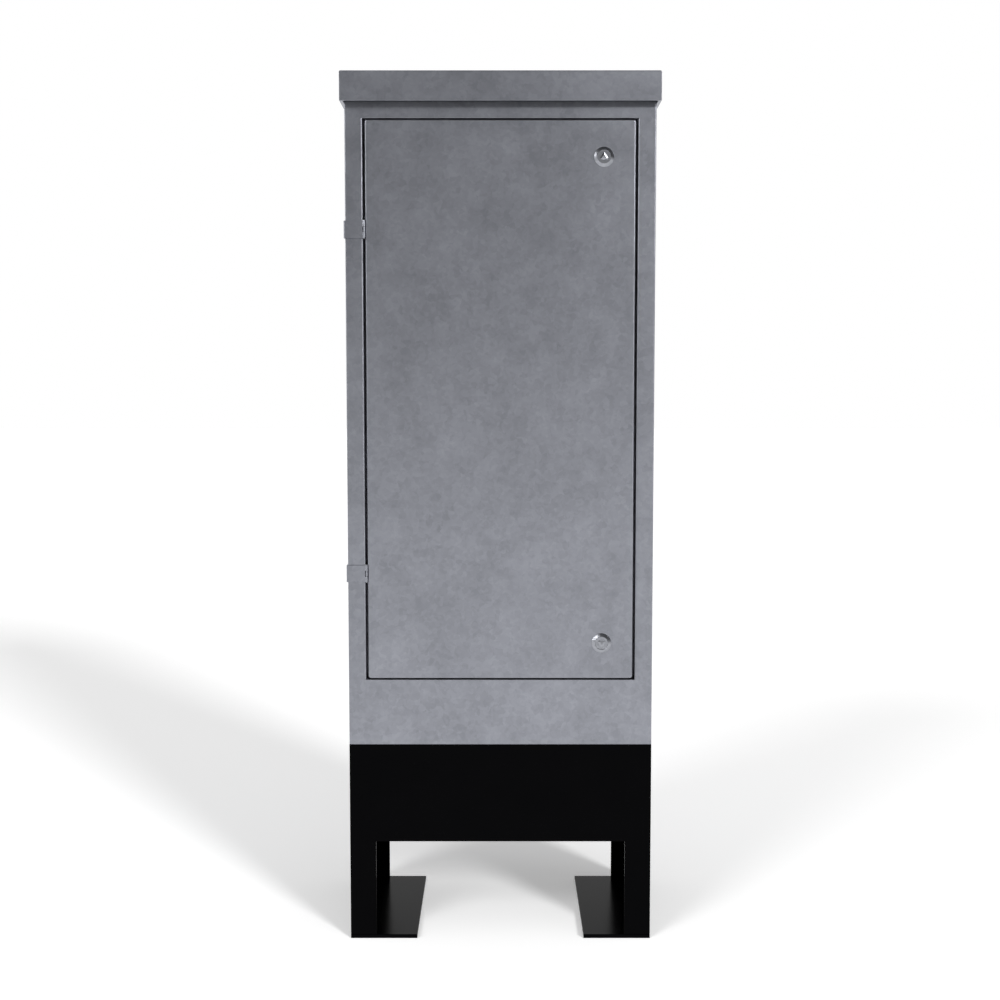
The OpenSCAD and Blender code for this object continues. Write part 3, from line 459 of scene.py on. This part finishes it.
# %% [markdown]
# Rounded edges
#
# A solid model has knife edges, and no real sheet, casting or moulding has. Each node's mesh arrives as
# loose triangles, so a copy is welded, its flat faces are joined and a small bevel is put on what is left
# of the sharp edges. The Weighted Normal modifier then keeps the large faces flat, because the smooth
# shading of the bevels would otherwise bend the light across a whole door. The key post of a lock is
# only a millimetre high, too low for a bevel to show, so its front is drawn in to slope the sides.

# %% Edge widths
EDGE_MM = {
    "galvanised_steel": 0.5,
    "black_coated_steel": 0.6,
    "plywood": 0.6,
    "pale_grey_plastic": 0.5,
    "black_rubber": 0.4,
}
SMALL_EDGE_MM = 0.25
POST_TAPER = 0.55
SAME_PLACE = 2e-6
FLAT_ANGLE = math.radians(0.4)
SHARP_ANGLE = math.radians(34.0)


def welded_copy(node):
    """A copy of a node's mesh with shared corners and joined flat faces."""
    mesh = nodes[node].data.copy()
    mesh.materials.clear()
    work = bmesh.new()
    work.from_mesh(mesh)
    bmesh.ops.remove_doubles(work, verts=work.verts, dist=SAME_PLACE)
    bmesh.ops.dissolve_limit(work, angle_limit=FLAT_ANGLE, verts=work.verts, edges=work.edges)
    work.to_mesh(mesh)
    work.free()
    for polygon in mesh.polygons:
        polygon.use_smooth = True
    return mesh


def slope_post(mesh):
    """Slopes the sides of a lock's key post: the corners of its front face move in."""
    front_y = min(corner.co.y for corner in mesh.vertices)
    corners = [corner for corner in mesh.vertices if corner.co.y < front_y + SAME_PLACE]
    middle = sum((corner.co for corner in corners), Vector()) / len(corners)
    for corner in corners:
        corner.co = middle.lerp(corner.co, POST_TAPER)
    print("key post:", len(corners), "front corners moved in")


# %% Dress every node
def dress(node):
    """The welded copy with a bevel and its finish, riding in the node's place."""
    slot = slot_of_node[node]
    mesh = welded_copy(node)
    if node.endswith("_lock_spindle"):
        slope_post(mesh)
    mesh.materials.append(finishes[slot])
    piece = bpy.data.objects.new("dressed_" + node, mesh)
    bpy.context.scene.collection.objects.link(piece)
    bevel = piece.modifiers.new("edge", "BEVEL")
    bevel.width = EDGE_MM.get(slot, SMALL_EDGE_MM) * MM
    bevel.segments = 2
    bevel.limit_method = "ANGLE"
    bevel.angle_limit = SHARP_ANGLE
    bevel.use_clamp_overlap = True
    shading = piece.modifiers.new("flat_faces", "WEIGHTED_NORMAL")
    shading.mode = "FACE_AREA"
    shading.weight = 100
    shading.keep_sharp = True
    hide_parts(node)
    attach(piece, body_of_node[node])
    return piece


dressed = {node: dress(node) for node in sorted(nodes)}
print("dressed:", len(dressed))

# %% [markdown]
# Cards before the locks
#
# The round shoulders of the two locks catch every lamp, and the photo has its sparks on the left alone. A
# photographer would hold small black cards between a lamp and a lock, and a pale card in front to light
# the dish. Light linking does the same: a lamp gets a list of the pieces that it leaves out, or of the
# only ones that it reaches. The key posts are kept from the left lamps, so that only the right side of
# a triangle shines.


# %% Cards before the locks
def link_lamp(lamp, state, linked_nodes):
    """Keeps a lamp off some pieces, or on them alone."""
    linked = bpy.data.collections.new(lamp.name + "_" + state.lower())
    for node in linked_nodes:
        linked.objects.link(dressed[node])
    for entry in linked.collection_objects:
        entry.light_linking.link_state = state
    lamp.light_linking.receiver_collection = linked


lock_faces = ("upper_lock_housing", "lower_lock_housing")
key_posts = ("upper_lock_spindle", "lower_lock_spindle")
link_lamp(lamp_right, "EXCLUDE", lock_faces)
link_lamp(lamp_left, "EXCLUDE", ("upper_lock_housing", *key_posts))
link_lamp(edge_left, "EXCLUDE", key_posts)
shine = {"strength": 0.1, "disc_deg": 32.0, "matt": False}
pale_card = far_lamp("pale_card", azimuth_deg=4.0, elevation_deg=14.0, **shine)
link_lamp(pale_card, "INCLUDE", lock_faces)
# %% [markdown]
# Repeated detail with Geometry Nodes
#
# A thread, a row of weld marks and the ribs of a grip are one small shape set down many times. Each gets a
# node tree with named inputs for its sizes. The tree is put on a mesh that holds nothing but the places,
# its result is copied into a plain mesh, and the helper mesh goes away again.


# %% Tree helpers
def new_tree(name, inputs):
    """An empty geometry tree with its places, its named sizes and its finish."""
    tree = bpy.data.node_groups.new(name, "GeometryNodeTree")
    tree.interface.new_socket("Places", in_out="INPUT", socket_type="NodeSocketGeometry")
    for label, kind in inputs.items():
        tree.interface.new_socket(label, in_out="INPUT", socket_type="NodeSocket" + kind)
    tree.interface.new_socket("Finish", in_out="INPUT", socket_type="NodeSocketMaterial")
    tree.interface.new_socket("Pieces", in_out="OUTPUT", socket_type="NodeSocketGeometry")
    return tree, add(tree, "NodeGroupInput").outputs


def close_tree(tree, shape, given):
    """Sets the shape on every place and ends the tree in plain geometry with its finish."""
    turn = add(tree, "FunctionNodeEulerToRotation", {0: given["Turn"]})
    spread = {"Points": given["Places"], "Instance": shape, "Rotation": turn.outputs[0]}
    spread = add(tree, "GeometryNodeInstanceOnPoints", spread)
    plain = add(tree, "GeometryNodeRealizeInstances", {0: spread.outputs[0]})
    smooth = add(tree, "GeometryNodeSetShadeSmooth", {0: plain.outputs[0]})
    finished = add(tree, "GeometryNodeSetMaterial", {0: smooth.outputs[0], "Material": given["Finish"]})
    add(tree, "NodeGroupOutput", {0: finished.outputs[0]})


def grow(tree, places, sizes, slot):
    """Runs a tree on a list of places and returns the plain mesh."""
    seed_mesh = bpy.data.meshes.new("places")
    seed_mesh.from_pydata(places, [], [])
    seed = bpy.data.objects.new("places", seed_mesh)
    bpy.context.scene.collection.objects.link(seed)
    modifier = seed.modifiers.new("grow", "NODES")
    modifier.node_group = tree
    socket_of = {item.name: item.identifier for item in tree.interface.items_tree if item.in_out == "INPUT"}
    for label, value in {**sizes, "Finish": finishes[slot]}.items():
        modifier[socket_of[label]] = value
    seen_by = bpy.context.evaluated_depsgraph_get()
    mesh = bpy.data.meshes.new_from_object(seed.evaluated_get(seen_by), depsgraph=seen_by)
    seed.modifiers.remove(modifier)
    bpy.data.objects.remove(seed)
    return mesh


def one_piece(name, meshes, body, slot):
    """Joins meshes into one piece that rides on a body."""
    work = bmesh.new()
    for mesh in meshes:
        work.from_mesh(mesh)
    joined = bpy.data.meshes.new(name)
    work.to_mesh(joined)
    work.free()
    joined.materials.append(finishes[slot])
    piece = bpy.data.objects.new(name, joined)
    bpy.context.scene.collection.objects.link(piece)
    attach(piece, body)
    print(name, "rides on", body, "with", len(joined.polygons), "faces")


# %% [markdown]
# Threads
#
# Studs and bolts stand out of their nuts with a few turns of thread to see. A thread is a ridge that climbs
# along a spiral, so the tree draws the spiral and sweeps a small round profile along it. The ridge is
# sunk into the stud so that only its crest stands proud.

# %% Thread tree
RIDGE_SHARE = 0.36
SUNK_SHARE = 0.16
thread_sizes = {"Turn": "Vector", "Radius": "Float", "Pitch": "Float", "Length": "Float"}
thread_tree, given = new_tree("stud_thread", thread_sizes)
turns = add(thread_tree, "ShaderNodeMath", {0: given["Length"], 1: given["Pitch"]}, operation="DIVIDE")
ridge = add(thread_tree, "ShaderNodeMath", {0: given["Pitch"], 1: RIDGE_SHARE}, operation="MULTIPLY")
sunk = {0: given["Pitch"], 1: -SUNK_SHARE, 2: given["Radius"]}
sunk = add(thread_tree, "ShaderNodeMath", sunk, operation="MULTIPLY_ADD")
spiral = {
    "Resolution": 20,
    "Rotations": turns.outputs[0],
    "Start Radius": sunk.outputs[0],
    "End Radius": sunk.outputs[0],
    "Height": given["Length"],
}
spiral = add(thread_tree, "GeometryNodeCurveSpiral", spiral)
profile = add(thread_tree, "GeometryNodeCurvePrimitiveCircle", {"Resolution": 6, "Radius": ridge.outputs[0]})
sweep = {"Curve": spiral.outputs[0], "Profile Curve": profile.outputs[0], "Fill Caps": True}
sweep = add(thread_tree, "GeometryNodeCurveToMesh", sweep)
close_tree(thread_tree, sweep.outputs[0], given)
print("thread tree:", len(thread_tree.nodes), "nodes")


# %% Threads on studs and bolts
TURN_OF_WAY = {"+Z": 0.0, "+Y": math.radians(-90.0), "-Y": math.radians(90.0)}
M8 = {"radius_mm": 4.0, "pitch_mm": 1.25}
M10 = {"radius_mm": 5.0, "pitch_mm": 1.5}


def both_sides(low, high, reach_mm):
    """Where a row's outer studs stand, or the one place where they are the same stud."""
    return sorted({round(low + reach_mm * MM, 5), round(high - reach_mm * MM, 5)})


def stud_row(node, way, reach_mm, length_mm, radius_mm, pitch_mm):
    """Threads that run this way from the free ends of a node's studs. Reach is half their widest part."""
    low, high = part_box(node)
    across = both_sides(low.x, high.x, reach_mm)
    if way == "+Z":
        ends = [(x, y, low.z) for x in across for y in both_sides(low.y, high.y, reach_mm)]
    else:
        end_y = low.y if way == "+Y" else high.y
        ends = [(x, end_y, z) for x in across for z in both_sides(low.z, high.z, reach_mm)]
    print(node, "has", len(ends), "threads")
    sizes = {"Radius": radius_mm * MM, "Pitch": pitch_mm * MM, "Length": length_mm * MM}
    turn = (TURN_OF_WAY[way], 0.0, 0.0)
    return grow(thread_tree, ends, {"Turn": turn, **sizes}, slot_of_node[node])


steel_threads = [
    stud_row("board_studs", "+Y", reach_mm=4.0, length_mm=5.2, **M8),
    stud_row("roof_studs", "+Z", reach_mm=4.0, length_mm=11.2, **M8),
    stud_row("base_bolts", "+Z", reach_mm=10.0, length_mm=3.8, **M10),
]
body_thread = stud_row("body_earth_stud", "+Y", reach_mm=8.0, length_mm=10.2, **M8)
door_thread = stud_row("door_earth_stud", "-Y", reach_mm=8.0, length_mm=10.2, **M8)
one_piece("cabinet_threads", steel_threads, "cabinet", slot_of_node["board_studs"])
one_piece("body_earth_thread", [body_thread], "cabinet", slot_of_node["body_earth_stud"])
one_piece("door_earth_thread", [door_thread], "door", slot_of_node["door_earth_stud"])

# %% [markdown]
# Weld marks
#
# The channel behind the door is spot welded through its two flanges. Each weld leaves a round print of the
# electrode with a low rim. The tree makes one rim and sets it out along a line, and the line is set down
# on both flanges.

# %% Weld marks
WELD_COUNT = 9
WELD_D_MM = 6.0
WELD_RIM_MM = 0.45
FLANGE_MM = 12.5
WELD_END_MM = 25.0
FLANGE_T_MM = 1.5
weld_sizes = {"Turn": "Vector", "Count": "Int", "Pitch": "Float", "Radius": "Float", "Rim": "Float"}
weld_tree, given = new_tree("weld_marks", weld_sizes)
step = add(weld_tree, "ShaderNodeCombineXYZ", {2: given["Pitch"]})
row = add(weld_tree, "GeometryNodeMeshLine", {"Count": given["Count"], "Offset": step.outputs[0]})
circle = add(weld_tree, "GeometryNodeCurvePrimitiveCircle", {"Resolution": 20, "Radius": given["Radius"]})
bead = add(weld_tree, "GeometryNodeCurvePrimitiveCircle", {"Resolution": 6, "Radius": given["Rim"]})
rim = {"Curve": circle.outputs[0], "Profile Curve": bead.outputs[0]}
rim = add(weld_tree, "GeometryNodeCurveToMesh", rim)
facing = add(weld_tree, "FunctionNodeEulerToRotation", {0: (math.radians(90.0), 0.0, 0.0)})
marks = {"Points": row.outputs[0], "Instance": rim.outputs[0], "Rotation": facing.outputs[0]}
marks = add(weld_tree, "GeometryNodeInstanceOnPoints", marks)
close_tree(weld_tree, marks.outputs[0], given)

low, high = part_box("door_stiffener")
first_z = low.z + WELD_END_MM * MM
flange_y = low.y + FLANGE_T_MM * MM
flange_x = 0.5 * (high.x - low.x) - 0.5 * FLANGE_MM * MM
middle_x = 0.5 * (low.x + high.x)
starts = [(middle_x - flange_x, flange_y, first_z), (middle_x + flange_x, flange_y, first_z)]
sizes = {
    "Turn": (0.0, 0.0, 0.0),
    "Count": WELD_COUNT,
    "Pitch": (high.z - low.z - 2.0 * WELD_END_MM * MM) / (WELD_COUNT - 1),
    "Radius": 0.5 * WELD_D_MM * MM,
    "Rim": WELD_RIM_MM * MM,
}
one_piece("weld_marks", [grow(weld_tree, starts, sizes, "galvanised_steel")], "door", "galvanised_steel")

# %% [markdown]
# Grip ribs
#
# A finger pushes the toggles up and down, so the levers carry three small ribs on both sides. The tree
# makes one round bar, a little shorter than the lever is wide, and it is set down on places worked out
# from the lever's tapering sides.

# %% Grip ribs
LEVER_REST_DEG = 35.0
LEVER_L_MM = 13.0
LEVER_ROOT_MM = 3.0
LEVER_TIP_MM = 1.6
RIB_AT_MM = (8.6, 10.2, 11.8)
RIB_R_MM = 0.35
RIB_SUNK_MM = 0.1
RIB_SHORT_MM = 1.6
PIN_MM = 4.4
rib_tree, given = new_tree("grip_ribs", {"Turn": "Vector", "Width": "Float", "Radius": "Float"})
half = add(rib_tree, "ShaderNodeMath", {0: given["Width"], 1: 0.5}, operation="MULTIPLY")
other = add(rib_tree, "ShaderNodeMath", {0: given["Width"], 1: -0.5}, operation="MULTIPLY")
left = add(rib_tree, "ShaderNodeCombineXYZ", {0: other.outputs[0]})
right = add(rib_tree, "ShaderNodeCombineXYZ", {0: half.outputs[0]})
bar = add(rib_tree, "GeometryNodeCurvePrimitiveLine", {"Start": left.outputs[0], "End": right.outputs[0]})
section = add(rib_tree, "GeometryNodeCurvePrimitiveCircle", {"Resolution": 8, "Radius": given["Radius"]})
rib = {"Curve": bar.outputs[0], "Profile Curve": section.outputs[0], "Fill Caps": True}
rib = add(rib_tree, "GeometryNodeCurveToMesh", rib)
close_tree(rib_tree, rib.outputs[0], given)

lean = Matrix.Rotation(math.radians(LEVER_REST_DEG), 3, "X")
for joint in behaviour["joints"]:
    if not joint["name"].endswith("_throw"):
        continue
    toggle = joint["child"]
    low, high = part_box(toggle)
    pivot = Vector(joint["pos_m"])
    pivot.x = 0.5 * (low.x + high.x)
    places = []
    for along_mm in RIB_AT_MM:
        side_mm = LEVER_ROOT_MM + (LEVER_TIP_MM - LEVER_ROOT_MM) * along_mm / LEVER_L_MM - RIB_SUNK_MM
        places += [pivot + lean @ Vector((0.0, -along_mm * MM, s * side_mm * MM)) for s in (-1, 1)]
    width = high.x - low.x - (PIN_MM + RIB_SHORT_MM) * MM
    sizes = {"Turn": (0.0, 0.0, 0.0), "Width": width, "Radius": RIB_R_MM * MM}
    slot = slot_of_node[toggle]
    one_piece(toggle + "_ribs", [grow(rib_tree, places, sizes, slot)], toggle, slot)

# %% [markdown]
# Print the size
#
# The looks must not change the object's dimensions, so the box of everything made here is printed.

# %% Size
low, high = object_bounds()
print("visual box:", [round(v, 4) for v in low], [round(v, 4) for v in high])
